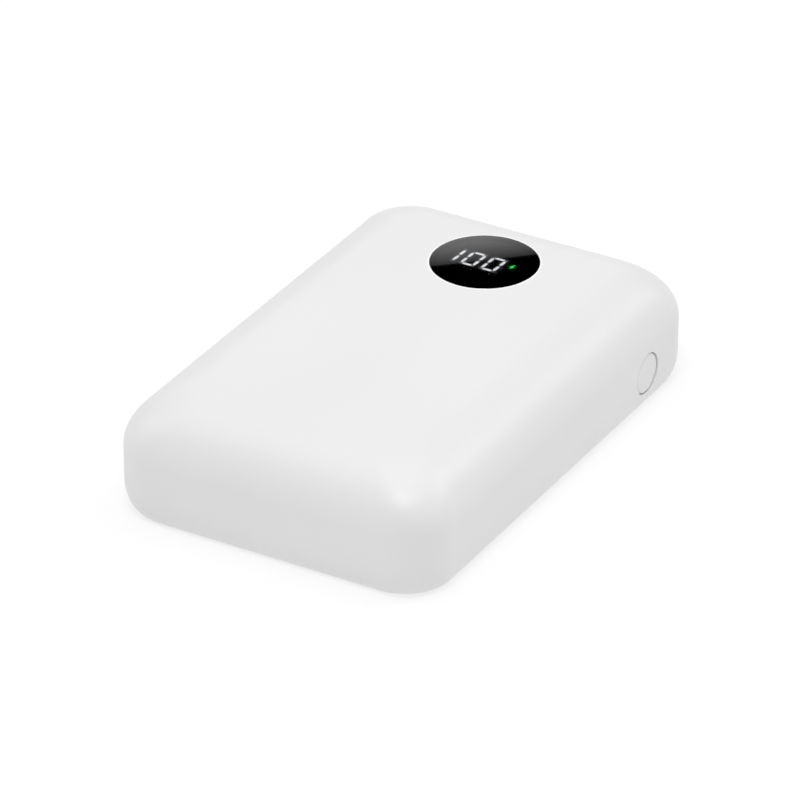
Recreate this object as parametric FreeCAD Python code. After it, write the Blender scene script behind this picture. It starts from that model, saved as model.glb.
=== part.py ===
import FreeCAD, Part
import math
import os

# A compact power bank. A deep rounded shell is closed underneath by a snap-in cover. It holds two
# stacked pouch cells, and at the far end a circuit board with three charging ports, a number
# display under a round window, and a side switch behind a sprung round button.
# Frame: +X right (button side), +Y towards the ports, +Z up. The origin is at the bottom centre.
# All sizes are in millimetres.

# Shell
case_width = 64.0
case_length = 96.75
case_height = 22.2
corner_radius = 9.0  # plan corners where the case is widest
corner_taper = 0.3  # how much that radius falls for each millimetre that the outline moves in
shoulder_width = 10.8  # top edge curve, inwards
shoulder_height = 9.75  # top edge curve, downwards
shoulder_fullness = 0.65  # 0.707 makes it a quarter ellipse, less makes it flatter
base_inset = 2.5  # bottom edge curve, inwards
base_height = 6.0  # bottom edge curve, upwards
side_wall = 1.7
top_wall = 1.6

# Bottom cover
foot_rim = 1.7  # ring of the shell around the cover, on which the case stands
flange_height = 2.6
ledge_width = 0.6
ledge_height = 0.8
cover_thickness = 1.6
seam_gap = 0.1
hook_width = 6.0
hook_thickness = 1.0
hook_height = 2.0
hook_catch = 0.5
hook_from_front = 24.45  # first row of side hooks, from the front of the cover opening
hook_from_boss = 5.0  # last row of side hooks, in front of the board screws
hook_offset = 12.0  # from the middle of the short sides

# Circuit board and its fixing
board_bottom = 4.0
board_thickness = 1.2
board_length = 22.9
board_end_gap = 0.75
board_side_gap = 1.3
board_corner = 6.0
boss_radius = 2.0
boss_from_wall = 5.1
boss_from_edge = 1.7
middle_boss_gap = 2.0  # from the middle boss to the back of the USB-C port
boss_rib = 1.2
boss_rib_shift = 0.8  # towards the cells, clear of the button's ears
screw_radius = 0.85
screw_length = 5.2
screw_head_radius = 1.6
screw_head_height = 1.1
screw_clearance = 0.02
board_hole_clearance = 0.15

# Cells and their packing
cell_side_gap = 0.6  # to the cover's side hooks
cell_end_gap = 0.75  # to the cover's front hooks
cell_corner = 2.0
cell_edge = 1.0
cell_to_board = 1.3
tape_thickness = 0.3
foam_thickness = 2.1
tab_width = 4.0
tab_thickness = 0.15
tab_reach = 1.0
tab_from_side = 6.5
sheet_thickness = 0.3
sheet_gap = 0.2
wire_radius = 0.5
wire_reach = 1.9
wire_bend = 1.2

# Round display window and the number module
display_from_end = 20.45
lens_radius = 9.87
lens_thickness = 1.0
lens_clearance = 0.05
lens_edge = 0.12
recess_bevel = 0.25
glue_thickness = 0.1
glue_width = 1.2
module_width = 13.6
module_length = 6.6
module_height = 4.0
module_corner = 0.8
module_gap = 0.15  # below the window and around the module
module_shift_x = -0.2
module_shift_y = 0.8
riser_inset = 0.4
riser_wall = 0.8
pin_radius = 0.25
pin_clearance = 0.05
pin_pitch = 2.2
digit_height = 4.4  # between the middles of the top and bottom bars
digit_width = 2.4
digit_pitch = 4.1
digit_middle = 1.57  # middle of the last digit, right of the module's middle
digit_lean = 3.0
bar_width = 0.56
bar_gap = 0.2  # from the corner or middle point where bars meet, to the tip of a bar
bar_depth = 0.4
bolt_middle = 4.85
bolt_width = 0.9
bolt_height = 1.6
bolt_rise = 0.8

# Button and side switch
button_from_end = 18.35
button_height = 7.4
button_radius = 3.8
button_clearance = 0.15
button_edge = 0.45
button_recess = 0.05
button_travel = 0.3
ear_length = 4.9
ear_height = 2.4
ear_thickness = 0.8
ear_gap = 0.05
stem_radius = 1.25
stem_length = 2.25
switch_depth = 3.0
switch_length = 6.0
frame_thickness = 0.2
plunger_radius = 0.95
plunger_reach = 1.2
plunger_head_radius = 1.4
plunger_head_height = 0.8
plunger_clearance = 0.1
dome_flat = 0.2  # height that the dome keeps when it is pressed
dome_thickness = 0.08

# Ports
port_recess = 0.45
port_clearance = 0.1
port_bevel = 0.35
port_gap = 3.0
usb_a_width = 13.1
usb_a_height = 5.7
usb_a_depth = 14.0
usb_a_corner = 0.6
usb_c_width = 9.0
usb_c_height = 3.2
usb_c_depth = 7.3
port_wall = 0.3
block_depth = 2.0
usb_a_tongue = (11.1, 1.84, 3.0)  # width, thickness, set back from the mouth
usb_a_tongue_drop = 0.65  # from the roof of the port
usb_c_tongue = (6.7, 0.7, 1.0)
usb_a_contacts = (4, 2.3, 1.1, 0.2)  # count, pitch, width, thickness
usb_c_contacts = (12, 0.5, 0.26, 0.06)

# Shared values worked out from the sizes above
QUARTER = math.sqrt(0.5)
V = FreeCAD.Vector
half_x = case_width / 2
half_y = case_length / 2
inner_x = half_x - side_wall
inner_y = half_y - side_wall
roof = case_height - top_wall
dome_height = button_travel + dome_flat
opening_x = half_x - base_inset - foot_rim
opening_y = half_y - base_inset - foot_rim
opening_radius = corner_radius - corner_taper * base_inset - foot_rim
board_top = board_bottom + board_thickness
board_back = inner_y - board_end_gap
board_front = board_back - board_length
board_x = inner_x - board_side_gap
lens_y = half_y - display_from_end
lens_bottom = case_height - lens_thickness
recess_floor = lens_bottom - glue_thickness
module_x = module_shift_x
module_y = lens_y + module_shift_y
module_top = lens_bottom - module_gap
module_bottom = module_top - module_height
button_y = half_y - button_from_end
ear_face = inner_x - ear_gap
stem_tip = ear_face - ear_thickness - stem_length
switch_front = stem_tip - plunger_reach
switch_back = switch_front - switch_depth
port_front = half_y - port_recess
usb_a_x = usb_c_width / 2 + port_gap + usb_a_width / 2
usb_c_corner = usb_c_height / 2 - 0.02
hook_inside = ledge_width + seam_gap + hook_thickness
cell_x = opening_x - hook_inside - cell_side_gap
cell_near = -(opening_y - hook_inside - cell_end_gap)
cell_far = board_front - cell_to_board
cell_bottom = cover_thickness + tape_thickness
cell_top = roof - foam_thickness
cell_height = (cell_top - cell_bottom - tape_thickness) / 2
boss_x = inner_x - boss_from_wall
boss_y = board_front + boss_from_edge
middle_boss_y = port_front - usb_c_depth - middle_boss_gap - boss_radius
boss_points = [(-boss_x, boss_y), (boss_x, boss_y), (0.0, middle_boss_y)]
inductor_half = 3.8
inductor_x = module_x - module_width / 2 - inductor_half - 1.2
pin_points = [
    (module_x + i * pin_pitch, module_y + side * (module_length / 2 - riser_inset - riser_wall - 0.6))
    for side in (-1, 1)
    for i in (-2, -1, 0, 1, 2)
]


def box(x0, x1, y0, y1, z0, z1):
    return Part.makeBox(x1 - x0, y1 - y0, z1 - z0, V(x0, y0, z0))


def block(size_x, size_y, height, x, y, z):
    """A box centred on x and y that stands on z."""
    return box(x - size_x / 2, x + size_x / 2, y - size_y / 2, y + size_y / 2, z, z + height)


def rod(radius, start, end):
    path = V(*end) - V(*start)
    return Part.makeCylinder(radius, path.Length, V(*start), path)


def outline(reach_x, reach_y, radius, z):
    """A closed rounded rectangle around the Z axis, at one height."""
    edges = []
    for turn in range(4):
        angle = math.radians(90 * turn)
        ux, uy = V(math.cos(angle), math.sin(angle), 0), V(-math.sin(angle), math.cos(angle), 0)
        a, b = (reach_x, reach_y) if turn % 2 == 0 else (reach_y, reach_x)
        lift = V(0, 0, z)
        start = ux * a + uy * (b - radius) + lift
        bend = ux * (a - radius + radius * QUARTER) + uy * (b - radius + radius * QUARTER) + lift
        end = ux * (a - radius) + uy * b + lift
        edges.append(Part.LineSegment(ux * a - uy * (b - radius) + lift, start).toShape())
        edges.append(Part.Arc(start, bend, end).toShape())
    return Part.Wire(edges)


def slab(reach_x, reach_y, radius, z0, z1, x=0.0, y=0.0):
    """A plate with rounded plan corners."""
    shape = Part.Face(outline(reach_x, reach_y, radius, z0)).extrude(V(0, 0, z1 - z0))
    shape.translate(V(x, y, 0))
    return shape


def facing_y(shape, x, z):
    """Turns a shape built along +Z so that it runs along -Y, and centres it on x and z."""
    shape.rotate(V(0, 0, 0), V(1, 0, 0), 90)
    shape.translate(V(x, 0, z))
    return shape


def tunnel(width, height, radius, y0, y1, x, z):
    """A rounded rectangle in the XZ plane that runs from y0 to y1."""
    return facing_y(slab(width / 2, height / 2, radius, -y1, -y0), x, z)


def patch(rows, row_weights, column_weights):
    """A face on one rational Bezier patch."""
    surface = Part.BSplineSurface()
    m, n = len(rows), len(rows[0])
    weights = [[a * b for b in column_weights] for a in row_weights]
    surface.buildFromPolesMultsKnots(
        rows, [m, m], [n, n], [0, 1], [0, 1], False, False, m - 1, n - 1, weights
    )
    return surface.toShape()


def edge_curve(reach_x, reach_y, radius, taper, profile, fullness):
    """Faces of a curved edge that runs round the block. The profile is three (inset, height)
    control points, and the corner radius shrinks as the outline moves in."""
    faces = []
    curve = (1, fullness, 1)
    for sx, sy in ((1, 1), (-1, 1), (-1, -1), (1, -1)):
        rows = []
        for inset, z in profile:
            r = radius - taper * inset
            cx, cy = reach_x - inset - r, reach_y - inset - r
            rows.append([V(sx * (cx + r * a), sy * (cy + r * b), z) for a, b in ((1, 0), (1, 1), (0, 1))])
        faces.append(patch(rows, curve, (1, QUARTER, 1)))
    for side in (1, -1):
        along_y, along_x = [], []
        for inset, z in profile:
            r = radius - taper * inset
            x, y = reach_x - inset, reach_y - inset
            along_y.append([V(side * x, -(y - r), z), V(side * x, y - r, z)])
            along_x.append([V(-(x - r), side * y, z), V(x - r, side * y, z)])
        faces.append(patch(along_y, curve, (1, 1)))
        faces.append(patch(along_x, curve, (1, 1)))
    return faces


def rounded_block(reach_x, reach_y, z0, z1, radius, taper, base, shoulder):
    """A solid with rounded plan corners, a curved base edge, an upright belt and a broad curved
    shoulder under a flat top. The base and the shoulder are each (inset, height), and a base of
    (0, 0) is sharp."""
    base_in, base_up = base
    shoulder_in, shoulder_down = shoulder
    belt0, belt1 = z0 + base_up, z1 - shoulder_down
    faces = list(outline(reach_x, reach_y, radius, belt0).extrude(V(0, 0, belt1 - belt0)).Faces)
    upper = ((0, belt1), (0, z1), (shoulder_in, z1))
    faces += edge_curve(reach_x, reach_y, radius, taper, upper, shoulder_fullness)
    top_radius = radius - taper * shoulder_in
    faces.append(Part.Face(outline(reach_x - shoulder_in, reach_y - shoulder_in, top_radius, z1)))
    if base_up:
        lower = ((base_in, z0), (0, z0), (0, belt0))
        faces += edge_curve(reach_x, reach_y, radius, taper, lower, QUARTER)
    foot_radius = radius - taper * base_in
    faces.append(Part.Face(outline(reach_x - base_in, reach_y - base_in, foot_radius, z0)))
    skin = Part.makeShell(faces)
    skin.sewShape()
    solid = Part.makeSolid(skin)
    if solid.Volume < 0:
        solid.reverse()
    return solid


def polygon(points, z0, z1):
    corners = [V(x, y, z0) for x, y in points]
    return Part.Face(Part.makePolygon(corners + corners[:1])).extrude(V(0, 0, z1 - z0))


def export(name, *shapes):
    solids = [solid for shape in shapes for solid in shape.Solids]
    result = solids[0] if len(solids) == 1 else Part.makeCompound(solids)
    result.exportStep("parts/" + name + ".step")


def make_top_shell():
    outer = rounded_block(
        half_x, half_y, 0, case_height, corner_radius, corner_taper,
        (base_inset, base_height), (shoulder_width, shoulder_height),
    )
    inner_radius = corner_radius - side_wall
    top_radius = corner_radius - corner_taper * shoulder_width
    inner_shoulder = shoulder_width - side_wall
    cavity = rounded_block(
        inner_x, inner_y, flange_height, roof, inner_radius, (inner_radius - top_radius) / inner_shoulder,
        (0, 0), (inner_shoulder, shoulder_height - top_wall),
    )
    posts = []
    for x, y in boss_points:
        posts.append(rod(boss_radius, (x, y, board_top), (x, y, case_height)))
    for side in (-1, 1):
        ends = sorted((side * (boss_x + boss_radius / 2), side * half_x))
        rib_y = boss_y - boss_rib_shift
        posts.append(box(*ends, rib_y - boss_rib / 2, rib_y + boss_rib / 2, board_top, case_height))
    shell = outer.cut(cavity.cut(posts))
    holes = [
        slab(opening_x, opening_y, opening_radius, -1, ledge_height),
        slab(opening_x - ledge_width, opening_y - ledge_width, opening_radius - ledge_width,
             0, flange_height),
        rod(lens_radius + lens_clearance, (0, lens_y, recess_floor), (0, lens_y, case_height + 1)),
        Part.makeCone(lens_radius + lens_clearance, lens_radius + lens_clearance + 2 * recess_bevel,
                      2 * recess_bevel, V(0, lens_y, case_height - recess_bevel)),
        slab(module_width / 2 + module_gap, module_length / 2 + module_gap, module_corner + module_gap,
             roof - 1, recess_floor, module_x, module_y),
        rod(button_radius + button_clearance, (inner_x - 1, button_y, button_height),
            (half_x + 1, button_y, button_height)),
    ]
    pilot = screw_radius + screw_clearance
    for x, y in boss_points:
        holes.append(rod(pilot, (x, y, board_top - 1), (x, y, board_bottom + screw_length + 1)))
    for width, height, radius, x in port_mouths():
        z = board_top + height / 2
        grow = 2 * port_clearance
        holes.append(tunnel(width + grow, height + grow, radius + port_clearance,
                            inner_y - 1, half_y + 1, x, z))
        mouth = (width / 2 + port_clearance, height / 2 + port_clearance, radius + port_clearance)
        small = outline(*mouth, -half_y + port_bevel)
        large = outline(*[size + 2 * port_bevel for size in mouth], -half_y - port_bevel)
        holes.append(facing_y(Part.makeLoft([small, large], True, True), x, z))
    return shell.cut(holes)


def port_mouths():
    """Width, height, corner radius and x of each port."""
    usb_a = (usb_a_width, usb_a_height, usb_a_corner)
    usb_c = (usb_c_width, usb_c_height, usb_c_corner)
    return [usb_a + (-usb_a_x,), usb_a + (usb_a_x,), usb_c + (0.0,)]


def make_bottom_cover():
    x, y, r = opening_x - seam_gap, opening_y - seam_gap, opening_radius - seam_gap
    plate = slab(x, y, r, 0, ledge_height)
    x, y, r = x - ledge_width, y - ledge_width, r - ledge_width
    pieces = [slab(x, y, r, ledge_height, cover_thickness)]
    tip = cover_thickness + hook_height
    catch = flange_height + seam_gap
    side = [(0, cover_thickness - 0.4), (0, catch), (hook_catch, catch), (0, tip), (-hook_thickness, tip),
            (-hook_thickness, cover_thickness - 0.4)]
    bar = Part.Face(Part.makePolygon([V(a, -hook_width / 2, b) for a, b in side + side[:1]]))
    hook = bar.extrude(V(0, hook_width, 0))
    first, last = hook_from_front - opening_y, boss_y - hook_from_boss
    rows = (first, (first + last) / 2, last)
    places = [(x, row, 0) for row in rows] + [(-x, row, 180) for row in rows]
    places += [(side_x, y, 90) for side_x in (-hook_offset, hook_offset)]
    places += [(side_x, -y, -90) for side_x in (-hook_offset, hook_offset)]
    for px, py, turn in places:
        copy = hook.copy()
        copy.rotate(V(0, 0, 0), V(0, 0, 1), turn)
        copy.translate(V(px, py, 0))
        pieces.append(copy)
    return plate.fuse(pieces).removeSplitter()


def make_lens():
    lens = rod(lens_radius, (0, lens_y, lens_bottom), (0, lens_y, case_height))
    rim = [edge for edge in lens.Edges if edge.BoundBox.ZMin > case_height - 0.01]
    return lens.makeChamfer(lens_edge, rim)


def make_lens_glue():
    ring = rod(lens_radius - lens_clearance, (0, lens_y, recess_floor), (0, lens_y, lens_bottom))
    return ring.cut(rod(lens_radius - lens_clearance - glue_width,
                        (0, lens_y, recess_floor - 1), (0, lens_y, lens_bottom + 1)))


def digit_bars(middle):
    """The seven bars of one digit, as a name to (x, y) corner points."""
    h, w, b = digit_height / 2, digit_width / 2, bar_width / 2
    lean = math.tan(math.radians(digit_lean))
    bars = {}
    for name, y in (("top", h), ("mid", 0), ("low", -h)):
        end = w - bar_gap
        inner = end - b
        bars[name] = [(-end, y), (-inner, y + b), (inner, y + b), (end, y), (inner, y - b), (-inner, y - b)]
    for row, y0, y1 in (("upper", bar_gap, h - bar_gap), ("lower", -h + bar_gap, -bar_gap)):
        for column, x in (("left", -w), ("right", w)):
            right, left = x + b, x - b
            bars[row + "_" + column] = [
                (x, y0), (right, y0 + b), (right, y1 - b), (x, y1), (left, y1 - b), (left, y0 + b),
            ]
    place = {}
    for name, points in bars.items():
        place[name] = [(middle + module_x + x + y * lean, module_y + y) for x, y in points]
    return place


def make_display_marks():
    """Lit bars, unlit bars and the charging bolt, let into the face of the module."""
    low = module_top - bar_depth
    lit, dark = [], []
    for place in (1, 0):
        for name, points in digit_bars(digit_middle - place * digit_pitch).items():
            target = dark if name == "mid" else lit
            target.append(polygon(points, low, module_top))
    one = digit_bars(digit_middle - 2 * digit_pitch)
    for name in ("upper_right", "lower_right"):
        lit.append(polygon(one[name], low, module_top))
    shape = ((0.2, 1), (-1, -0.2), (-0.1, -0.15), (-0.3, -1), (1, 0.25), (0.1, 0.2), (0.7, 1))
    x, y = module_x + bolt_middle, module_y + bolt_rise
    bolt = polygon([(x + a * bolt_width / 2, y + b * bolt_height / 2) for a, b in shape], low, module_top)
    return lit, dark, bolt


def make_display_case(marks):
    x, y = module_width / 2, module_length / 2
    case = slab(x, y, module_corner, module_bottom, module_top, module_x, module_y)
    return case.cut(marks)


def make_riser():
    x, y = module_width / 2 - riser_inset, module_length / 2 - riser_inset
    tube = slab(x, y, module_corner, board_top, module_bottom, module_x, module_y)
    x, y = x - riser_wall, y - riser_wall
    return tube.cut(slab(x, y, module_corner / 2, board_top - 1, module_bottom + 1, module_x, module_y))


def make_board():
    middle = (board_front + board_back) / 2
    board = slab(board_x, board_length / 2, board_corner, board_bottom, board_top, 0, middle)
    screw_hole = screw_radius + board_hole_clearance
    pin_hole = pin_radius + pin_clearance
    holes = [rod(screw_hole, (x, y, 0), (x, y, case_height)) for x, y in boss_points]
    holes += [rod(pin_hole, (x, y, 0), (x, y, case_height)) for x, y in pin_points]
    return board.cut(holes)


def make_screws():
    screws = []
    for x, y in boss_points:
        low = board_bottom - screw_head_height
        head = rod(screw_head_radius, (x, y, low), (x, y, board_bottom))
        edge = [e for e in head.Edges if e.BoundBox.ZMax < low + 0.01]
        head = head.makeFillet(screw_head_height / 3, edge)
        taper = board_bottom + screw_length - screw_radius
        shank = rod(screw_radius, (x, y, board_bottom - 0.1), (x, y, taper))
        tip = Part.makeCone(screw_radius, 0.2, screw_radius, V(x, y, taper))
        slots = [block(1.8, 0.4, 0.6, x, y, low - 0.1), block(0.4, 1.8, 0.6, x, y, low - 0.1)]
        screws.append(head.fuse([shank, tip]).cut(slots))
    return screws


def make_button():
    """The cap, the retaining ears behind the wall and the stem that reaches the switch. Its face
    leans in at the bottom by as much as the wall there."""
    y, z = button_y, button_height
    face = half_x - button_recess
    back = ear_face - ear_thickness
    below = max(base_height - (z - button_radius), 0) / base_height
    lean = base_inset * (1 - math.sqrt(1 - below ** 2))
    rise = button_radius + 1
    slope = lean / (2 * button_radius)
    front = [(face + slope, rise), (face + 2, rise), (face + 2, -rise), (face - lean - slope, -rise)]
    cap = rod(button_radius, (back, y, z), (face + 1, y, z))
    cap = cap.cut(facing_y(polygon(front, -y - rise, rise - y), 0, z))
    rim = [edge for edge in cap.Edges if edge.BoundBox.XMin > face - lean - 0.01]
    cap = cap.makeFillet(button_edge, rim)
    ears = box(back, ear_face, y - ear_length, y + ear_length, z - ear_height, z + ear_height)
    stem = rod(stem_radius, (stem_tip, y, z), (face - 1, y, z))
    return cap.fuse([ears, stem])


def make_switch():
    """Base, steel frame, plunger, snap dome and terminals of the side switch."""
    y, z = button_y, button_height
    top = 2 * z - board_top
    y0, y1 = y - switch_length / 2, y + switch_length / 2
    body_front = switch_front - frame_thickness
    pocket_radius = plunger_head_radius + plunger_clearance
    pocket_depth = plunger_head_height + dome_height + plunger_clearance
    inside = (y0 + frame_thickness, y1 - frame_thickness)
    body = box(switch_back, body_front, *inside, board_top, top)
    body = body.cut(rod(pocket_radius, (body_front - pocket_depth, y, z), (body_front + 1, y, z)))
    frame = box(switch_back, switch_front, y0, y1, board_top, top)
    frame = frame.cut([
        box(switch_back - 1, body_front, *inside, 0, case_height),
        rod(plunger_radius + plunger_clearance, (switch_back, y, z), (half_x, y, z)),
    ])
    head_front = body_front - plunger_clearance
    head_back = head_front - plunger_head_height
    plunger = rod(plunger_radius, (head_back, y, z), (stem_tip, y, z))
    plunger = plunger.fuse(rod(plunger_head_radius, (head_back, y, z), (head_front, y, z)))
    return body, frame, plunger, make_dome(head_back, y, z)


def make_dome(apex, y, z):
    """A thin snap dome that bulges towards the plunger."""
    foot = plunger_head_radius
    radius = (foot ** 2 + dome_height ** 2) / (2 * dome_height)
    centre = apex - radius
    outer = Part.makeSphere(radius, V(centre, y, z))
    shell = outer.cut(Part.makeSphere(radius - dome_thickness, V(centre, y, z)))
    return shell.common(box(apex - dome_height, apex + 1, y - foot, y + foot, z - foot, z + foot))


def make_terminals():
    terminals = []
    for end in (-1, 1):
        y = button_y + end * (switch_length / 2 - 1.2)
        terminals.append(box(switch_back - 0.9, switch_back, y - 0.3, y + 0.3, board_top, board_top + 0.2))
    return terminals


def make_port(width, height, corner, depth, x, tongue, tongue_z, contacts, sides):
    """Steel shell, plastic tongue and contact strips of one port."""
    z = board_top + height / 2
    back = port_front - depth
    inner = (width - 2 * port_wall, height - 2 * port_wall, max(corner - port_wall, 0.1))
    shell = tunnel(width, height, corner, back, port_front, x, z)
    shell = shell.cut(tunnel(*inner, back - 1, port_front + 1, x, z))
    tongue_width, tongue_thickness, set_back = tongue
    tip = port_front - set_back
    plastic = tunnel(*inner, back, back + block_depth, x, z)
    plastic = plastic.fuse(box(x - tongue_width / 2, x + tongue_width / 2, back, tip,
                               tongue_z, tongue_z + tongue_thickness))
    count, pitch, strip, thickness = contacts
    strips = []
    for side in sides:
        low = tongue_z - thickness if side < 0 else tongue_z + tongue_thickness
        for i in range(count):
            cx = x + (i - (count - 1) / 2) * pitch
            strips.append(box(cx - strip / 2, cx + strip / 2, back - 0.5, tip - 0.5, low, low + thickness))
    return shell, plastic.cut(strips), strips


def make_cell(z):
    length = (cell_far - cell_near) / 2
    cell = slab(cell_x, length, cell_corner, z, z + cell_height, 0, (cell_far + cell_near) / 2)
    rims = [e for e in cell.Edges if abs(e.BoundBox.ZMax - e.BoundBox.ZMin) < 0.01]
    return cell.makeFillet(cell_edge, rims)


def make_tabs(side):
    """The lower tab turned up and the upper tab turned down, welded where they meet."""
    x = side * (cell_x - tab_from_side)
    x0, x1 = x - tab_width / 2, x + tab_width / 2
    low = cell_bottom + cell_height / 2
    high = cell_top - cell_height / 2
    reach = cell_far + tab_reach
    t = tab_thickness
    lower = box(x0, x1, cell_far, reach, low, low + t).fuse(box(x0, x1, reach - t, reach, low, high - t))
    upper = box(x0, x1, cell_far, reach + t, high, high + t)
    upper = upper.fuse(box(x0, x1, reach, reach + t, low + 2, high + t))
    return lower, upper


def make_sheet(tabs):
    y0 = cell_far + sheet_gap
    sheet = box(-cell_x + 1, cell_x - 1, y0, y0 + sheet_thickness, cell_bottom + 0.5, cell_top - 0.5)
    slots = []
    for tab in tabs:
        b = tab.BoundBox
        for z in (cell_bottom + cell_height / 2, cell_top - cell_height / 2):
            slots.append(box(b.XMin - 0.3, b.XMax + 0.3, y0 - 1, y0 + 1, z - 0.3, z + tab_thickness + 0.3))
    return sheet.cut(slots)


def make_wire(side):
    """A short wire from the welded tabs down to the board."""
    x = side * (cell_x - tab_from_side)
    y0 = cell_far + tab_reach + tab_thickness
    y1 = y0 + wire_reach
    z = (cell_bottom + cell_top) / 2
    r = wire_bend
    start, bend = V(x, y0, z), V(x, y1 - r, z)
    middle = V(x, y1 - r + r * QUARTER, z - r + r * QUARTER)
    turn, end = V(x, y1, z - r), V(x, y1, board_top)
    path = Part.Wire([
        Part.LineSegment(start, bend).toShape(),
        Part.Arc(bend, middle, turn).toShape(),
        Part.LineSegment(turn, end).toShape(),
    ])
    section = Part.Wire(Part.Circle(start, V(0, 1, 0), wire_radius).toShape())
    return path.makePipeShell([section], True, True)


def make_inductor():
    """Shielded drum core with its winding in the ring between."""
    x, y = inductor_x, board_front + 6.4
    core = slab(inductor_half, inductor_half, 1.2, board_top, board_top + 4.2, x, y)
    ring = rod(3.3, (x, y, board_top + 0.6), (x, y, board_top + 3.6))
    ring = ring.cut(rod(1.6, (x, y, board_top), (x, y, board_top + 5)))
    gap = rod(3.3, (x, y, board_top + 3.6), (x, y, board_top + 5)).cut(
        rod(2.9, (x, y, board_top), (x, y, board_top + 6)))
    return core.cut([ring, gap]), ring


def make_round_capacitors():
    left = (inductor_x - inductor_half - board_x) / 2
    spots = [(left, boss_y + 6.2), (switch_back - 3.3, button_y)]
    cans = []
    for x, y in spots:
        can = rod(2.5, (x, y, board_top), (x, y, board_top + 5.8))
        rim = [e for e in can.Edges if e.BoundBox.ZMin > board_top + 5.7]
        cans.append(can.makeFillet(0.4, rim))
    return cans


def make_small_parts():
    """Surface-mounted capacitors and resistors beside the display riser and the middle boss."""
    column = module_x + module_width / 2 + 1.8
    row = board_front + 6.2
    ceramics = [block(2.0, 1.25, 1.25, 5.0, middle_boss_y + dy, board_top) for dy in (-2, 0, 2)]
    ceramics += [block(1.6, 0.8, 0.8, column, row + i * 1.4, board_top) for i in range(4)]
    resistors = [block(1.6, 0.8, 0.45, column + 2.2, row + i * 1.4, board_top) for i in range(4)]
    return ceramics, resistors


os.makedirs("parts", exist_ok=True)

export("top_shell", make_top_shell())
export("bottom_cover", make_bottom_cover())
export("display_lens", make_lens())
export("lens_adhesive", make_lens_glue())

lit, dark, bolt = make_display_marks()
export("display_digits_lit", *lit)
export("display_digits_dark", *dark)
export("display_bolt", bolt)
export("display_case", make_display_case(lit + dark + [bolt]))
export("display_riser", make_riser())
pin_foot = board_bottom - 0.3
export("display_pins", *[rod(pin_radius, (x, y, pin_foot), (x, y, module_bottom)) for x, y in pin_points])

export("main_board", make_board())
export("board_screws", *make_screws())
ceramics, resistors = make_small_parts()
export("ceramic_capacitors", *ceramics)
export("resistors", *resistors)
export("round_capacitors", *make_round_capacitors())
core, coil = make_inductor()
export("inductor_core", core)
export("inductor_coil", coil)
export("controller_chip", block(5.0, 5.0, 0.9, -usb_a_x, port_front - usb_a_depth + 3, board_bottom - 0.9))
export("port_chip", block(3.6, 3.6, 0.8, -4.8, middle_boss_y, board_top))
mosfet_x = module_x + module_width / 2 + 3.6
mosfet_y = board_front + 3.7
export("mosfets", *[block(3.0, 2.2, 0.9, mosfet_x + dx, mosfet_y, board_top) for dx in (0, 4.0)])

export("button_cap", make_button())
body, frame, plunger, dome = make_switch()
export("switch_body", body)
export("switch_frame", frame)
export("switch_plunger", plunger)
export("switch_dome", dome)
export("switch_terminals", *make_terminals())

roof_of_port = board_top + usb_a_height - port_wall
usb_a_tongue_z = roof_of_port - usb_a_tongue_drop - usb_a_tongue[1]
for name, x in (("left_usb_a", -usb_a_x), ("right_usb_a", usb_a_x)):
    shell, plastic, strips = make_port(
        usb_a_width, usb_a_height, usb_a_corner, usb_a_depth, x,
        usb_a_tongue, usb_a_tongue_z, usb_a_contacts, (-1,),
    )
    export(name + "_shell", shell)
    export(name + "_tongue", plastic)
    export(name + "_contacts", *strips)
shell, plastic, strips = make_port(
    usb_c_width, usb_c_height, usb_c_corner, usb_c_depth, 0.0,
    usb_c_tongue, board_top + usb_c_height / 2 - usb_c_tongue[1] / 2, usb_c_contacts, (-1, 1),
)
export("usb_c_shell", shell)
export("usb_c_tongue", plastic)
export("usb_c_contacts", *strips)

upper_bottom = cell_bottom + cell_height + tape_thickness
export("lower_cell", make_cell(cell_bottom))
export("upper_cell", make_cell(upper_bottom))
aluminium_tabs = make_tabs(1)
nickel_tabs = make_tabs(-1)
export("positive_tabs", *aluminium_tabs)
export("negative_tabs", *nickel_tabs)
export("insulator_sheet", make_sheet([aluminium_tabs[0], nickel_tabs[0]]))
tape_x, tape_y = cell_x - 8, (cell_far - cell_near) / 2 - 8
tape_middle = (cell_far + cell_near) / 2
export("cover_tape", slab(tape_x, tape_y, 2, cover_thickness, cell_bottom, 0, tape_middle))
export("cell_tape", slab(tape_x, tape_y, 2, cell_bottom + cell_height, upper_bottom, 0, tape_middle))
export("foam_pad", slab(tape_x, tape_y, 2, cell_top, roof, 0, tape_middle))
export("red_wire", make_wire(1))
export("black_wire", make_wire(-1))
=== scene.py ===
import math

import bmesh
import bpy
from mathutils import Euler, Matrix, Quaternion, Vector


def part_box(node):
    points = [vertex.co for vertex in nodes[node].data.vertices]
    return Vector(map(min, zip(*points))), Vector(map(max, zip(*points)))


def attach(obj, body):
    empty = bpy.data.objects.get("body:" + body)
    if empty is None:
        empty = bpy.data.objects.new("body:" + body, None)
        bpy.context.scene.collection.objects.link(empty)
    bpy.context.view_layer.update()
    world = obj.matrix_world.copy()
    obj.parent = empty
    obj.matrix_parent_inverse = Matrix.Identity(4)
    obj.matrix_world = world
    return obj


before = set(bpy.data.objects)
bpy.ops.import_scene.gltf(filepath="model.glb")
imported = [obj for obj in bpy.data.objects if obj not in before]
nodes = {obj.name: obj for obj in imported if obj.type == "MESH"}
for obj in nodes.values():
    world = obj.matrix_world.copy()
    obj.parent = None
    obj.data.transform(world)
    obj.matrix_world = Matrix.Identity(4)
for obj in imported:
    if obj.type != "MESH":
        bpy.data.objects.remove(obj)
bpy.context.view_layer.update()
MM = 0.001

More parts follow.
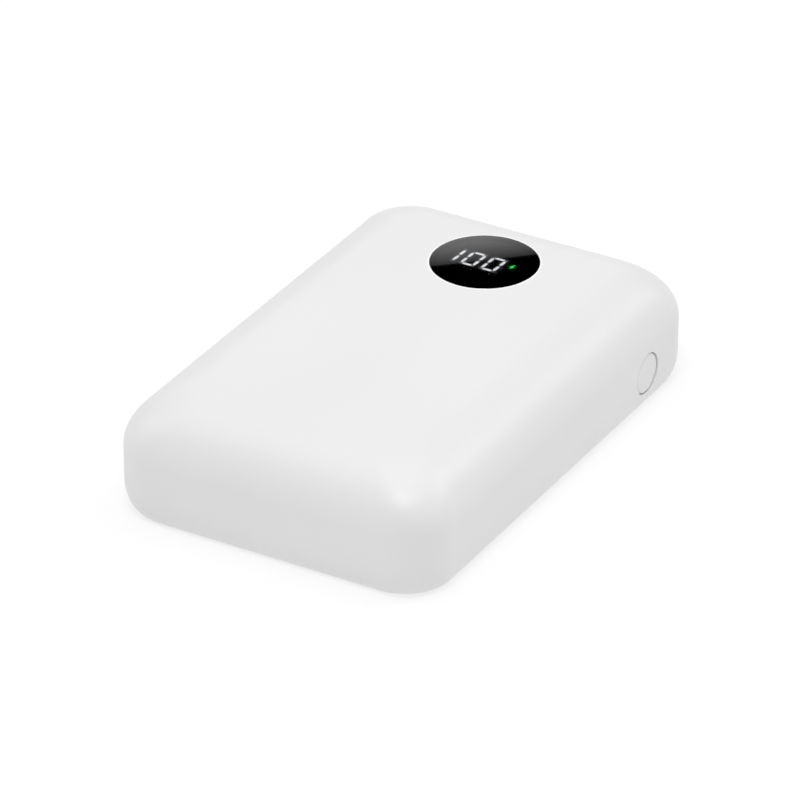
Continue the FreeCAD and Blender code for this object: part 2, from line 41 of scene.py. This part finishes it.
# Places that the pieces give
LENS_LOW, LENS_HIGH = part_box("display_lens")
LENS_MIDDLE = (LENS_LOW + LENS_HIGH) / 2
LENS_RADIUS = (LENS_HIGH.x - LENS_LOW.x) / 2
TOP = LENS_HIGH.z

# The lit number: where its digits stand, from the middles of their bars
LIT_LOW, LIT_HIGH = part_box("display_digits_lit")
MARKS_MIDDLE = (LIT_LOW + LIT_HIGH) / 2
DIGIT_LEAN = math.tan(math.radians(3))
BAR_HALF_WIDTH = 0.28 * MM
DIGIT_HALF_HEIGHT = (LIT_HIGH.y - LIT_LOW.y) / 2 - BAR_HALF_WIDTH
ZERO_HALF_WIDTH = 1.2 * MM
LAST_ZERO = LIT_HIGH.x - BAR_HALF_WIDTH - 1.3 * MM
FIRST_ZERO = LAST_ZERO - 4.1 * MM
ONE = LAST_ZERO - 7.0 * MM
DIGITS = ((LAST_ZERO, ZERO_HALF_WIDTH), (FIRST_ZERO, ZERO_HALF_WIDTH), (ONE, 0.0))

# The faint glow painted round the lit marks on the module face, as emission of the face itself
PAINTED_GLOW_REACH = 0.18 * MM
PAINTED_GLOW_STRENGTH = 2.8
BOLT_PAINTED_GLOW_REACH = 0.55 * MM
BOLT_PAINTED_GLOW_SHARE = 0.4
BOLT_PAINTED_GLOW_START = 0.5 * MM


# ---------------------------------------------------------------- modelling helpers

def deselect():
    if bpy.context.object and bpy.context.object.mode != "OBJECT":
        bpy.ops.object.mode_set(mode="OBJECT")
    bpy.ops.object.select_all(action="DESELECT")


def start_piece(name):
    """Opens edit mode on the primitive that was just added."""
    piece = bpy.context.object
    piece.name = name
    bpy.ops.object.mode_set(mode="EDIT")
    bpy.ops.mesh.select_mode(type="VERT")
    return piece


def pick(piece, wanted):
    """Selects the vertices whose place in the piece passes the test, and nothing else."""
    bpy.ops.mesh.select_mode(type="VERT")
    bpy.ops.mesh.select_all(action="DESELECT")
    mesh = bmesh.from_edit_mesh(piece.data)
    for vertex in mesh.verts:
        vertex.select = wanted(vertex.co)
    mesh.select_flush_mode()
    bmesh.update_edit_mesh(piece.data)


def finish_piece(piece, body, material, smooth=30):
    """Closes the piece: outward faces, applied place, smooth shading, its finish and its body."""
    bpy.ops.mesh.select_all(action="SELECT")
    bpy.ops.mesh.remove_doubles(threshold=0.001 * MM)
    bpy.ops.mesh.normals_make_consistent(inside=False)
    bpy.ops.object.mode_set(mode="OBJECT")
    bpy.ops.object.transform_apply(location=True, rotation=True, scale=True)
    bpy.ops.object.shade_smooth_by_angle(angle=math.radians(smooth))
    piece.data.materials.clear()
    piece.data.materials.append(material)
    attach(piece, body)
    deselect()


# ---------------------------------------------------------------- material helpers

# A Wave texture's Scale that puts one thread in each unit of length
WAVES_PER_UNIT = 0.31


class Finish:
    """A Principled material, with short ways to add and join nodes."""

    def __init__(self, name, colour, roughness, **sockets):
        self.material = bpy.data.materials.new(name)
        self.material.use_nodes = True
        self.tree = self.material.node_tree
        self.shader = self.tree.nodes["Principled BSDF"]
        self.shader.inputs["Base Color"].default_value = (*colour, 1)
        self.shader.inputs["Roughness"].default_value = roughness
        for socket, value in sockets.items():
            self.shader.inputs[socket.replace("_", " ")].default_value = value
        self.place = self.add("ShaderNodeTexCoord").outputs["Object"]

    def add(self, kind, **settings):
        node = self.tree.nodes.new(kind)
        for key, value in settings.items():
            setattr(node, key, value)
        return node

    def join(self, source, target):
        self.tree.links.new(source, target)

    def noise(self, scale, detail=3.0, rough=0.5, stretch=None):
        node = self.add("ShaderNodeTexNoise")
        node.inputs["Scale"].default_value = scale
        node.inputs["Detail"].default_value = detail
        node.inputs["Roughness"].default_value = rough
        place = self.place
        if stretch:
            mapping = self.add("ShaderNodeMapping")
            mapping.inputs["Scale"].default_value = stretch
            self.join(place, mapping.inputs["Vector"])
            place = mapping.outputs["Vector"]
        self.join(place, node.inputs["Vector"])
        return node.outputs["Fac"]

    def spread(self, value, low, high, start=0.3, end=0.7):
        """Maps a 0 to 1 pattern onto low to high."""
        node = self.add("ShaderNodeMapRange")
        node.inputs["From Min"].default_value = start
        node.inputs["From Max"].default_value = end
        node.inputs["To Min"].default_value = low
        node.inputs["To Max"].default_value = high
        self.join(value, node.inputs["Value"])
        return node.outputs["Result"]

    def shades(self, value, *stops):
        """Colours between two stops, given as (position, colour) pairs."""
        ramp = self.add("ShaderNodeValToRGB")
        for element, (position, colour) in zip(ramp.color_ramp.elements, stops):
            element.position = position
            element.color = (*colour, 1)
        self.join(value, ramp.inputs["Fac"])
        self.join(ramp.outputs["Color"], self.shader.inputs["Base Color"])

    def maths(self, kind, *values):
        """One Math node on sockets or plain numbers."""
        node = self.add("ShaderNodeMath", operation=kind)
        for socket, value in zip(node.inputs, values):
            if isinstance(value, (int, float)):
                socket.default_value = value
            else:
                self.join(value, socket)
        return node.outputs["Value"]

    def roughness(self, value, low, high):
        self.join(self.spread(value, low, high), self.shader.inputs["Roughness"])

    def bumps(self, *layers):
        """Stacks (pattern, strength, height in metres) layers of relief."""
        normal = None
        for value, strength, height in layers:
            node = self.add("ShaderNodeBump")
            node.inputs["Strength"].default_value = strength
            node.inputs["Distance"].default_value = height
            self.join(value, node.inputs["Height"])
            if normal:
                self.join(normal, node.inputs["Normal"])
            normal = node.outputs["Normal"]
        self.join(normal, self.shader.inputs["Normal"])


def grey(value):
    return (value, value, value)


def moulded(name, colour, roughness, grain=5200, relief=0.12, mottle=0.012, **sockets):
    """Moulded plastic: fine spark-eroded grain, slow flow marks and a little unevenness in gloss."""
    finish = Finish(name, colour, roughness, **sockets)
    flow = finish.noise(28, 2, 0.55, (1.0, 0.35, 1.0))
    fine = finish.noise(grain, 2, 0.6)
    darker = [max(channel - mottle, 0) for channel in colour]
    lighter = [min(channel + mottle, 1) for channel in colour]
    finish.shades(flow, (0.3, darker), (0.7, lighter))
    finish.roughness(finish.noise(90, 4, 0.6), roughness - 0.05, roughness + 0.05)
    finish.bumps((flow, 0.04, 0.2 * MM), (fine, relief, 0.01 * MM))
    return finish.material


def metal(name, colour, roughness, along=(1.0, 60.0, 60.0), **sockets):
    """Rolled or plated metal, with faint drawing lines along one axis."""
    finish = Finish(name, colour, roughness, Metallic=1.0, **sockets)
    lines = finish.noise(900, 4, 0.65, along)
    tarnish = finish.noise(220, 3, 0.6)
    finish.shades(tarnish, (0.25, [channel * 0.82 for channel in colour]), (0.75, colour))
    finish.roughness(lines, roughness - 0.07, roughness + 0.12)
    finish.bumps((lines, 0.12, 0.01 * MM))
    return finish.material


def woven(name, dark, light, roughness, pitch):
    """Fine crossing threads, as in glass cloth under varnish or in a paper sheet."""
    finish = Finish(name, light, roughness)
    waves = []
    for turn in (0, math.pi / 2):
        mapping = finish.add("ShaderNodeMapping")
        mapping.inputs["Rotation"].default_value = (0, 0, turn)
        finish.join(finish.place, mapping.inputs["Vector"])
        wave = finish.add("ShaderNodeTexWave")
        wave.inputs["Scale"].default_value = WAVES_PER_UNIT / pitch
        wave.inputs["Distortion"].default_value = 0.6
        finish.join(mapping.outputs["Vector"], wave.inputs["Vector"])
        waves.append(wave.outputs["Fac"])
    cross = finish.maths("MULTIPLY", *waves)
    finish.shades(cross, (0.1, dark), (0.8, light))
    finish.roughness(finish.noise(400, 3), roughness - 0.08, roughness + 0.08)
    finish.bumps((cross, 0.15, 0.02 * MM))
    return finish.material


def speckled(name, dark, light, roughness, size, metallic=0.0):
    """Small grains of two shades, as in ferrite, ceramic, foam or mould compound."""
    finish = Finish(name, light, roughness, Metallic=metallic)
    grains = finish.add("ShaderNodeTexVoronoi")
    grains.inputs["Scale"].default_value = 1 / size
    finish.join(finish.place, grains.inputs["Vector"])
    finish.shades(grains.outputs["Distance"], (0.1, dark), (0.7, light))
    finish.roughness(finish.noise(0.5 / size, 3), roughness - 0.08, roughness + 0.06)
    finish.bumps((grains.outputs["Distance"], 0.2, size * 0.1))
    return finish.material


def wrinkled_foil(name, colour):
    """Laminated pouch foil: soft dents, fine wrinkles and a satin metal sheen."""
    finish = Finish(name, colour, 0.34, Metallic=0.85)
    dents = finish.noise(70, 2, 0.5)
    creases = finish.add("ShaderNodeTexVoronoi", feature="DISTANCE_TO_EDGE")
    creases.inputs["Scale"].default_value = 140
    finish.join(finish.place, creases.inputs["Vector"])
    finish.shades(dents, (0.3, [channel * 0.9 for channel in colour]), (0.7, colour))
    finish.roughness(finish.noise(300, 4), 0.28, 0.42)
    finish.bumps((dents, 0.3, 0.4 * MM), (creases.outputs["Distance"], 0.1, 0.1 * MM))
    return finish.material


def glowing(name, colour, glow, strength):
    """A lit plastic mark, a little uneven in its light."""
    finish = Finish(name, colour, 0.4)
    finish.shader.inputs["Emission Color"].default_value = (*glow, 1)
    light = finish.spread(finish.noise(700, 2, 0.5), strength * 0.9, strength * 1.1)
    finish.join(light, finish.shader.inputs["Emission Strength"])
    finish.roughness(finish.noise(2000, 2), 0.35, 0.45)
    return finish.material


def away_from_digit(finish, x, y, middle, half_width):
    """How far x, y is from the outline that a digit's bars follow, outside or inside it."""
    maths = finish.maths
    across = maths("SUBTRACT", maths("ABSOLUTE", maths("SUBTRACT", x, middle)), half_width)
    along = maths("SUBTRACT", maths("ABSOLUTE", y), DIGIT_HALF_HEIGHT)
    across_squared = maths("POWER", maths("MAXIMUM", across, 0), 2)
    along_squared = maths("POWER", maths("MAXIMUM", along, 0), 2)
    outside = maths("POWER", maths("ADD", across_squared, along_squared), 0.5)
    inside = maths("MINIMUM", maths("MAXIMUM", across, along), 0)
    return maths("ABSOLUTE", maths("ADD", outside, inside))


def painted_digit_glow(finish, place):
    """Painted glow round the digits: falls off from 1 with the distance from the nearest digit, which
    leans by DIGIT_LEAN.
    """
    maths = finish.maths
    y = maths("SUBTRACT", place["Y"], MARKS_MIDDLE.y)
    x = maths("SUBTRACT", place["X"], maths("MULTIPLY", y, DIGIT_LEAN))
    nearest = None
    for middle, half_width in DIGITS:
        away = away_from_digit(finish, x, y, middle, half_width)
        nearest = away if nearest is None else maths("MINIMUM", nearest, away)
    return maths("EXPONENT", maths("MULTIPLY", nearest, -1 / PAINTED_GLOW_REACH))


def painted_bolt_glow(finish, place, middle):
    """A round spot of painted glow that falls off from BOLT_PAINTED_GLOW_SHARE at the middle of the bolt.
    """
    maths = finish.maths
    x = maths("SUBTRACT", place["X"], middle.x)
    y = maths("SUBTRACT", place["Y"], middle.y)
    squared = maths("ADD", maths("POWER", x, 2), maths("POWER", y, 2))
    spot = maths("EXPONENT", maths("MULTIPLY", squared, -1 / BOLT_PAINTED_GLOW_REACH ** 2))
    return maths("MULTIPLY", spot, BOLT_PAINTED_GLOW_SHARE)


def module_face_with_painted_glow():
    """Black module plastic with a faint glow painted round the lit bars and the bolt, as emission of the
    face itself.
    """
    finish = Finish("black_module_face_painted_glow", grey(0.004), 0.6, Specular_IOR_Level=0.1)
    split = finish.add("ShaderNodeSeparateXYZ")
    finish.join(finish.place, split.inputs["Vector"])
    place = split.outputs
    low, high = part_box("display_bolt")
    # Colour of the painted glow: pale white round the digits, green beside the bolt
    tint = finish.add("ShaderNodeValToRGB")
    tint.color_ramp.elements[0].color = (0.93, 0.97, 1.0, 1)
    tint.color_ramp.elements[1].color = (0.03, 1.0, 0.12, 1)
    beside_bolt = finish.maths("GREATER_THAN", place["X"], low.x - BOLT_PAINTED_GLOW_START)
    finish.join(beside_bolt, tint.inputs["Fac"])
    finish.join(tint.outputs["Color"], finish.shader.inputs["Emission Color"])
    # Painted glow: the face's emission, falling off round the digits and the bolt
    painted_glow_amount = finish.maths("ADD", painted_digit_glow(finish, place), painted_bolt_glow(finish, place, (low + high) / 2))
    glow = finish.maths("MULTIPLY", painted_glow_amount, PAINTED_GLOW_STRENGTH)
    finish.join(glow, finish.shader.inputs["Emission Strength"])
    finish.roughness(finish.noise(90, 4, 0.6), 0.55, 0.65)
    return finish.material


def smoked_lens():
    """Dark tinted clear plastic with a hard polished face."""
    finish = Finish("smoked_lens", (0.12, 0.12, 0.122), 0.005, IOR=1.49, Transmission_Weight=1.0)
    finish.roughness(finish.noise(300, 3), 0.002, 0.008)
    return finish.material


def dress(material, *names):
    """Gives carried-over nodes their finish."""
    for name in names:
        slots = nodes[name].data.materials
        slots.clear()
        slots.append(material)


# ---------------------------------------------------------------- finishes of the carried-over pieces

dress(moulded("satin_white_shell", grey(0.775), 0.42), "top_shell")
dress(moulded("satin_white_button", grey(0.765), 0.38, grain=7000), "button_cap")
dress(moulded("matte_white_cover", grey(0.76), 0.5, grain=3600, relief=0.25), "bottom_cover")
dress(smoked_lens(), "display_lens")
dress(glowing("lit_digit_white", grey(0.8), (0.95, 0.97, 0.98), 7.0), "display_digits_lit")
dress(glowing("lit_bolt_green", (0.1, 0.5, 0.15), (0.05, 1.0, 0.16), 8.0), "display_bolt")
dress(moulded("unlit_digit_grey", grey(0.05), 0.4, mottle=0.004), "display_digits_dark")
dress(moulded("black_module_plastic", grey(0.012), 0.5, mottle=0.003), "display_riser")
dress(module_face_with_painted_glow(), "display_case")
dress(moulded("black_foam_tape", grey(0.012), 0.85, mottle=0.004, relief=0.5), "lens_adhesive")
dress(woven("solder_mask_green", (0.004, 0.07, 0.025), (0.012, 0.13, 0.045), 0.35, 0.5 * MM), "main_board")
dress(metal("zinc_plate", (0.62, 0.63, 0.66), 0.3), "board_screws")
dress(speckled("chip_compound", grey(0.018), grey(0.03), 0.55, 0.12 * MM),
      "controller_chip", "port_chip", "mosfets")
dress(speckled("resistor_glaze", grey(0.02), grey(0.05), 0.3, 0.2 * MM), "resistors")
dress(speckled("capacitor_ceramic", (0.3, 0.2, 0.12), (0.42, 0.3, 0.19), 0.5, 0.15 * MM),
      "ceramic_capacitors")
dress(metal("capacitor_can", (0.75, 0.75, 0.76), 0.35), "round_capacitors")
dress(speckled("ferrite_grey", grey(0.03), grey(0.07), 0.6, 0.1 * MM, 0.2), "inductor_core")
dress(metal("enamelled_copper", (0.72, 0.3, 0.12), 0.25, (60.0, 60.0, 1.0)), "inductor_coil")
dress(metal("tinned_pin", (0.7, 0.7, 0.68), 0.3), "display_pins", "switch_terminals")
dress(moulded("black_switch_plastic", grey(0.02), 0.45, mottle=0.004), "switch_body", "switch_plunger")
dress(metal("bright_steel", (0.6, 0.6, 0.61), 0.28), "switch_frame", "switch_dome")
dress(metal("port_steel", (0.62, 0.62, 0.63), 0.26, (60.0, 1.0, 60.0)),
      "left_usb_a_shell", "right_usb_a_shell", "usb_c_shell")
dress(moulded("white_port_plastic", grey(0.7), 0.4), "left_usb_a_tongue", "right_usb_a_tongue")
dress(moulded("black_port_plastic", grey(0.015), 0.4, mottle=0.004), "usb_c_tongue")
dress(metal("gold_flash", (0.9, 0.66, 0.28), 0.22, (60.0, 1.0, 60.0)),
      "left_usb_a_contacts", "right_usb_a_contacts", "usb_c_contacts")
dress(wrinkled_foil("pouch_foil", (0.66, 0.67, 0.7)), "lower_cell", "upper_cell")
dress(metal("tab_aluminium", (0.8, 0.8, 0.81), 0.35), "positive_tabs")
dress(metal("tab_nickel", (0.66, 0.62, 0.55), 0.35), "negative_tabs")
dress(moulded("cream_tape", (0.82, 0.78, 0.66), 0.5, relief=0.3), "cover_tape", "cell_tape")
dress(speckled("black_foam", grey(0.015), grey(0.05), 0.95, 0.4 * MM), "foam_pad")
dress(woven("fibre_paper", (0.24, 0.3, 0.24), (0.36, 0.42, 0.34), 0.8, 0.4 * MM), "insulator_sheet")
dress(moulded("red_wire_sleeve", (0.6, 0.02, 0.02), 0.4, mottle=0.01), "red_wire")
dress(moulded("black_wire_sleeve", grey(0.015), 0.4, mottle=0.004), "black_wire")


# ---------------------------------------------------------------- pieces modelled here

def add_window_print():
    """Black ink on the back of the round window, with a rounded clear opening over the digits."""
    gap, thickness, opening_inset, opening_corner = 0.01 * MM, 0.02 * MM, 0.3 * MM, 0.8 * MM
    edge = LENS_RADIUS - 0.02 * MM
    low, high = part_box("display_case")
    back = LENS_LOW.z - gap
    middle = (low + high) / 2
    half = (high - low) / 2
    deselect()
    bpy.ops.mesh.primitive_plane_add(size=2, location=(middle.x, middle.y, back))
    sheet = start_piece("window_ink")
    bpy.ops.transform.resize(value=(half.x - opening_inset, half.y - opening_inset, 1))
    bpy.ops.mesh.bevel(offset=opening_corner, segments=31, affect="VERTICES")
    bpy.ops.mesh.delete(type="ONLY_FACE")
    bpy.ops.mesh.select_all(action="DESELECT")
    bpy.ops.mesh.primitive_circle_add(vertices=128, radius=edge, location=(0, LENS_MIDDLE.y, back))
    bpy.ops.mesh.select_all(action="SELECT")
    bpy.ops.mesh.bridge_edge_loops()
    bpy.ops.mesh.select_all(action="SELECT")
    bpy.ops.mesh.extrude_region_move(TRANSFORM_OT_translate={"value": (0, 0, -thickness)})
    ink = moulded("window_ink_black", grey(0.002), 0.6, mottle=0.001, Specular_IOR_Level=0.05)
    finish_piece(sheet, "case", ink)


def add_window_lip():
    """The thin edge of the shell around the window, which rises a little outwards, coloured lighter than
    the shell as a painted highlight.
    """
    inner, outer = LENS_RADIUS + 0.03 * MM, LENS_RADIUS + 0.33 * MM
    height = 0.22 * MM
    base = (0, LENS_MIDDLE.y, TOP - height)
    deselect()
    bpy.ops.mesh.primitive_circle_add(vertices=160, radius=inner, location=base)
    lip = start_piece("window_lip")
    bpy.ops.mesh.extrude_region_move(TRANSFORM_OT_translate={"value": (0, 0, height * 0.95)})
    bpy.ops.mesh.extrude_region_move()
    bpy.ops.transform.resize(value=(outer / inner, outer / inner, 1), center_override=base)
    bpy.ops.transform.translate(value=(0, 0, height * 0.04))
    # The lowest loop and the outermost one, which the last wall joins
    pick(lip, lambda co: co.z < height * 0.5 or math.hypot(co.x, co.y) > inner + 0.05 * MM)
    bpy.ops.mesh.select_mode(type="EDGE")
    bpy.ops.mesh.bridge_edge_loops()
    # Painted highlight: the lip is coloured almost pure white (0.97), much lighter than the shell's 0.775,
    # for the light its edge catches
    polished_painted_highlight = moulded("polished_white_lip_painted_highlight", grey(0.97), 0.2, relief=0.03)
    finish_piece(lip, "case", polished_painted_highlight)


def add_port_springs(name, shell):
    """Two bowed steel leaves on the floor of a USB-A port, which grip the plug."""
    width, length, thickness, half_spacing = 1.7 * MM, 5.2 * MM, 0.12 * MM, 2.6 * MM
    low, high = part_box(shell)
    middle = ((low.x + high.x) / 2, high.y - 4.6 * MM, low.z + 0.3 * MM)
    deselect()
    bpy.ops.mesh.primitive_plane_add(size=1, location=middle)
    springs = start_piece(name)
    bpy.ops.transform.resize(value=(width, length, 1))
    bpy.ops.mesh.subdivide(number_cuts=11)
    for half_length, rise in ((1.6 * MM, 0.22 * MM), (0.7 * MM, 0.13 * MM)):
        pick(springs, lambda co: abs(co.y) < half_length)
        bpy.ops.transform.translate(value=(0, 0, rise))
    pick(springs, lambda co: co.y > 2.4 * MM)
    bpy.ops.transform.resize(value=(0.75, 1, 1), center_override=middle)
    bpy.ops.mesh.select_all(action="SELECT")
    bpy.ops.mesh.extrude_region_move(TRANSFORM_OT_translate={"value": (0, 0, thickness)})
    bpy.ops.mesh.select_all(action="SELECT")
    bpy.ops.transform.translate(value=(-half_spacing, 0, 0))
    bpy.ops.mesh.duplicate_move(TRANSFORM_OT_translate={"value": (2 * half_spacing, 0, 0)})
    finish_piece(springs, "case", nodes[shell].data.materials[0], 60)


add_window_print()
add_window_lip()
add_port_springs("left_usb_a_springs", "left_usb_a_shell")
add_port_springs("right_usb_a_springs", "right_usb_a_shell")


# ---------------------------------------------------------------- camera

TARGET = Vector((-1.041, -0.354, 7.7)) * MM
DISTANCE = 1081.3 * MM
LENS_LENGTH = 277.36
AZIMUTH, ELEVATION = math.radians(30), math.radians(30)
AWAY = Vector((math.sin(AZIMUTH) * math.cos(ELEVATION), -math.cos(AZIMUTH) * math.cos(ELEVATION),
               math.sin(ELEVATION)))
CAMERA_PLACE = TARGET + AWAY * DISTANCE


def add_camera():
    bpy.ops.object.camera_add(location=CAMERA_PLACE, rotation=(math.radians(90) - ELEVATION, 0, AZIMUTH))
    camera = bpy.context.object
    camera.name = "studio_camera"
    camera.data.lens = LENS_LENGTH
    camera.data.sensor_width = 36
    camera.data.clip_start = 0.01
    camera.data.clip_end = 20
    bpy.context.scene.camera = camera


# ---------------------------------------------------------------- studio

# Name, place and side in metres, and power in watts
SOFTBOXES = (
    ("overhead_softbox", (0.0, 0.0, 1.3), 1.4, 7.0),
    ("front_softbox", (0.25, -0.7, 1.5), 0.5, 6.7),
    ("back_right_softbox", (0.8, 0.9, 0.9), 0.6, 4.2),
    ("left_softbox", (-1.0, -0.3, 0.8), 0.8, 2.4),
)
AIR_GLOW = 0.42
FLOOR_GLOW = 0.63
CARD_REACH = 1.2


def add_softbox(name, place, side, power):
    bpy.ops.object.light_add(type="AREA", location=place)
    lamp = bpy.context.object
    lamp.name = name
    lamp.data.shape = "SQUARE"
    lamp.data.size = side
    lamp.data.energy = power
    aim = Vector((0, 0, 0.01)) - Vector(place)
    lamp.rotation_euler = aim.to_track_quat("-Z", "Y").to_euler()


def add_floor():
    bpy.ops.mesh.primitive_plane_add(size=8, location=(0, 0, -0.02 * MM))
    floor = bpy.context.object
    floor.name = "floor"
    paint = Finish("pale_floor_paint", grey(0.35), 0.9, Specular_IOR_Level=0.0)
    paint.shader.inputs["Emission Color"].default_value = (1, 1, 1, 1)
    paint.shader.inputs["Emission Strength"].default_value = FLOOR_GLOW
    paint.roughness(paint.noise(6, 3), 0.85, 0.95)
    floor.data.materials.append(paint.material)


def mirrored_in_window(x, y):
    """The point that the camera sees mirrored in the flat window at x, y, on an upright plane that
    stands across the view, CARD_REACH behind the object."""
    ahead = Vector((-math.sin(AZIMUTH), math.cos(AZIMUTH), 0))
    seen = Vector((x, y, TOP))
    eye = Vector((CAMERA_PLACE.x, CAMERA_PLACE.y, 2 * TOP - CAMERA_PLACE.z))
    ray = seen - eye
    return eye + ray * (CARD_REACH - eye.dot(ahead)) / ray.dot(ahead)


def card_face(name, strength, far_strength=0.0, falloff=0.0):
    """Plain light, whose strength goes over to far_strength within falloff metres where that is given."""
    material = bpy.data.materials.new(name)
    material.use_nodes = True
    tree = material.node_tree
    tree.nodes.clear()
    glow = tree.nodes.new("ShaderNodeEmission")
    glow.inputs["Strength"].default_value = strength
    out = tree.nodes.new("ShaderNodeOutputMaterial")
    tree.links.new(glow.outputs["Emission"], out.inputs["Surface"])
    if falloff:
        place = tree.nodes.new("ShaderNodeTexCoord")
        split = tree.nodes.new("ShaderNodeSeparateXYZ")
        ramp = tree.nodes.new("ShaderNodeMapRange")
        ramp.inputs["From Min"].default_value = 0
        ramp.inputs["From Max"].default_value = falloff
        ramp.inputs["To Min"].default_value = strength
        ramp.inputs["To Max"].default_value = far_strength
        tree.links.new(place.outputs["Object"], split.inputs["Vector"])
        tree.links.new(split.outputs["Y"], ramp.inputs["Value"])
        tree.links.new(ramp.outputs["Result"], glow.inputs["Strength"])
    return material


def add_card(name, edge, tilt, size, side, material):
    """A card across the view, wholly on one side of a slanted edge (side is 1 for above, -1 for below)."""
    bpy.ops.mesh.primitive_plane_add(size=1)
    card = bpy.context.object
    card.name = name
    for corner in card.data.vertices:
        corner.co.x *= size[0]
        corner.co.y = (corner.co.y + side / 2) * size[1]
    upright = Euler((math.radians(90), 0, AZIMUTH)).to_quaternion()
    card.rotation_mode = "QUATERNION"
    card.rotation_quaternion = upright @ Quaternion((0, 0, 1), tilt)
    card.location = edge
    card.visible_camera = False
    card.data.materials.append(material)


def add_mirrored_cards():
    """The far edge of the round window mirrors a bright strip of backdrop under a black flag."""
    left = mirrored_in_window(-7.45 * MM, 21.71 * MM)
    right = mirrored_in_window(6.52 * MM, 34.84 * MM)
    far = mirrored_in_window(0, LENS_HIGH.y)
    across = (right - left).normalized()
    flat = Vector((math.cos(AZIMUTH), math.sin(AZIMUTH), 0))
    tilt = math.atan2(across.z, across.dot(flat))
    middle = (left + right) / 2
    depth = (middle.z - far.z) * math.cos(tilt)
    strip = card_face("backdrop_strip_face", 0.25, 1.9, -1.3 * depth)
    black = card_face("black_flag_face", 0.0)
    add_card("backdrop_strip", middle, tilt, (0.6, 0.25), -1, strip)
    add_card("black_flag", middle, tilt, (0.9, 0.5), 1, black)


def add_studio():
    bpy.context.scene.view_settings.view_transform = "Standard"
    world = bpy.data.worlds.new("studio_air")
    bpy.context.scene.world = world
    world.use_nodes = True
    air = world.node_tree.nodes["Background"]
    air.inputs["Color"].default_value = (1, 1, 1, 1)
    air.inputs["Strength"].default_value = AIR_GLOW
    add_floor()
    for softbox in SOFTBOXES:
        add_softbox(*softbox)
    add_mirrored_cards()


deselect()
add_camera()
add_studio()
deselect()
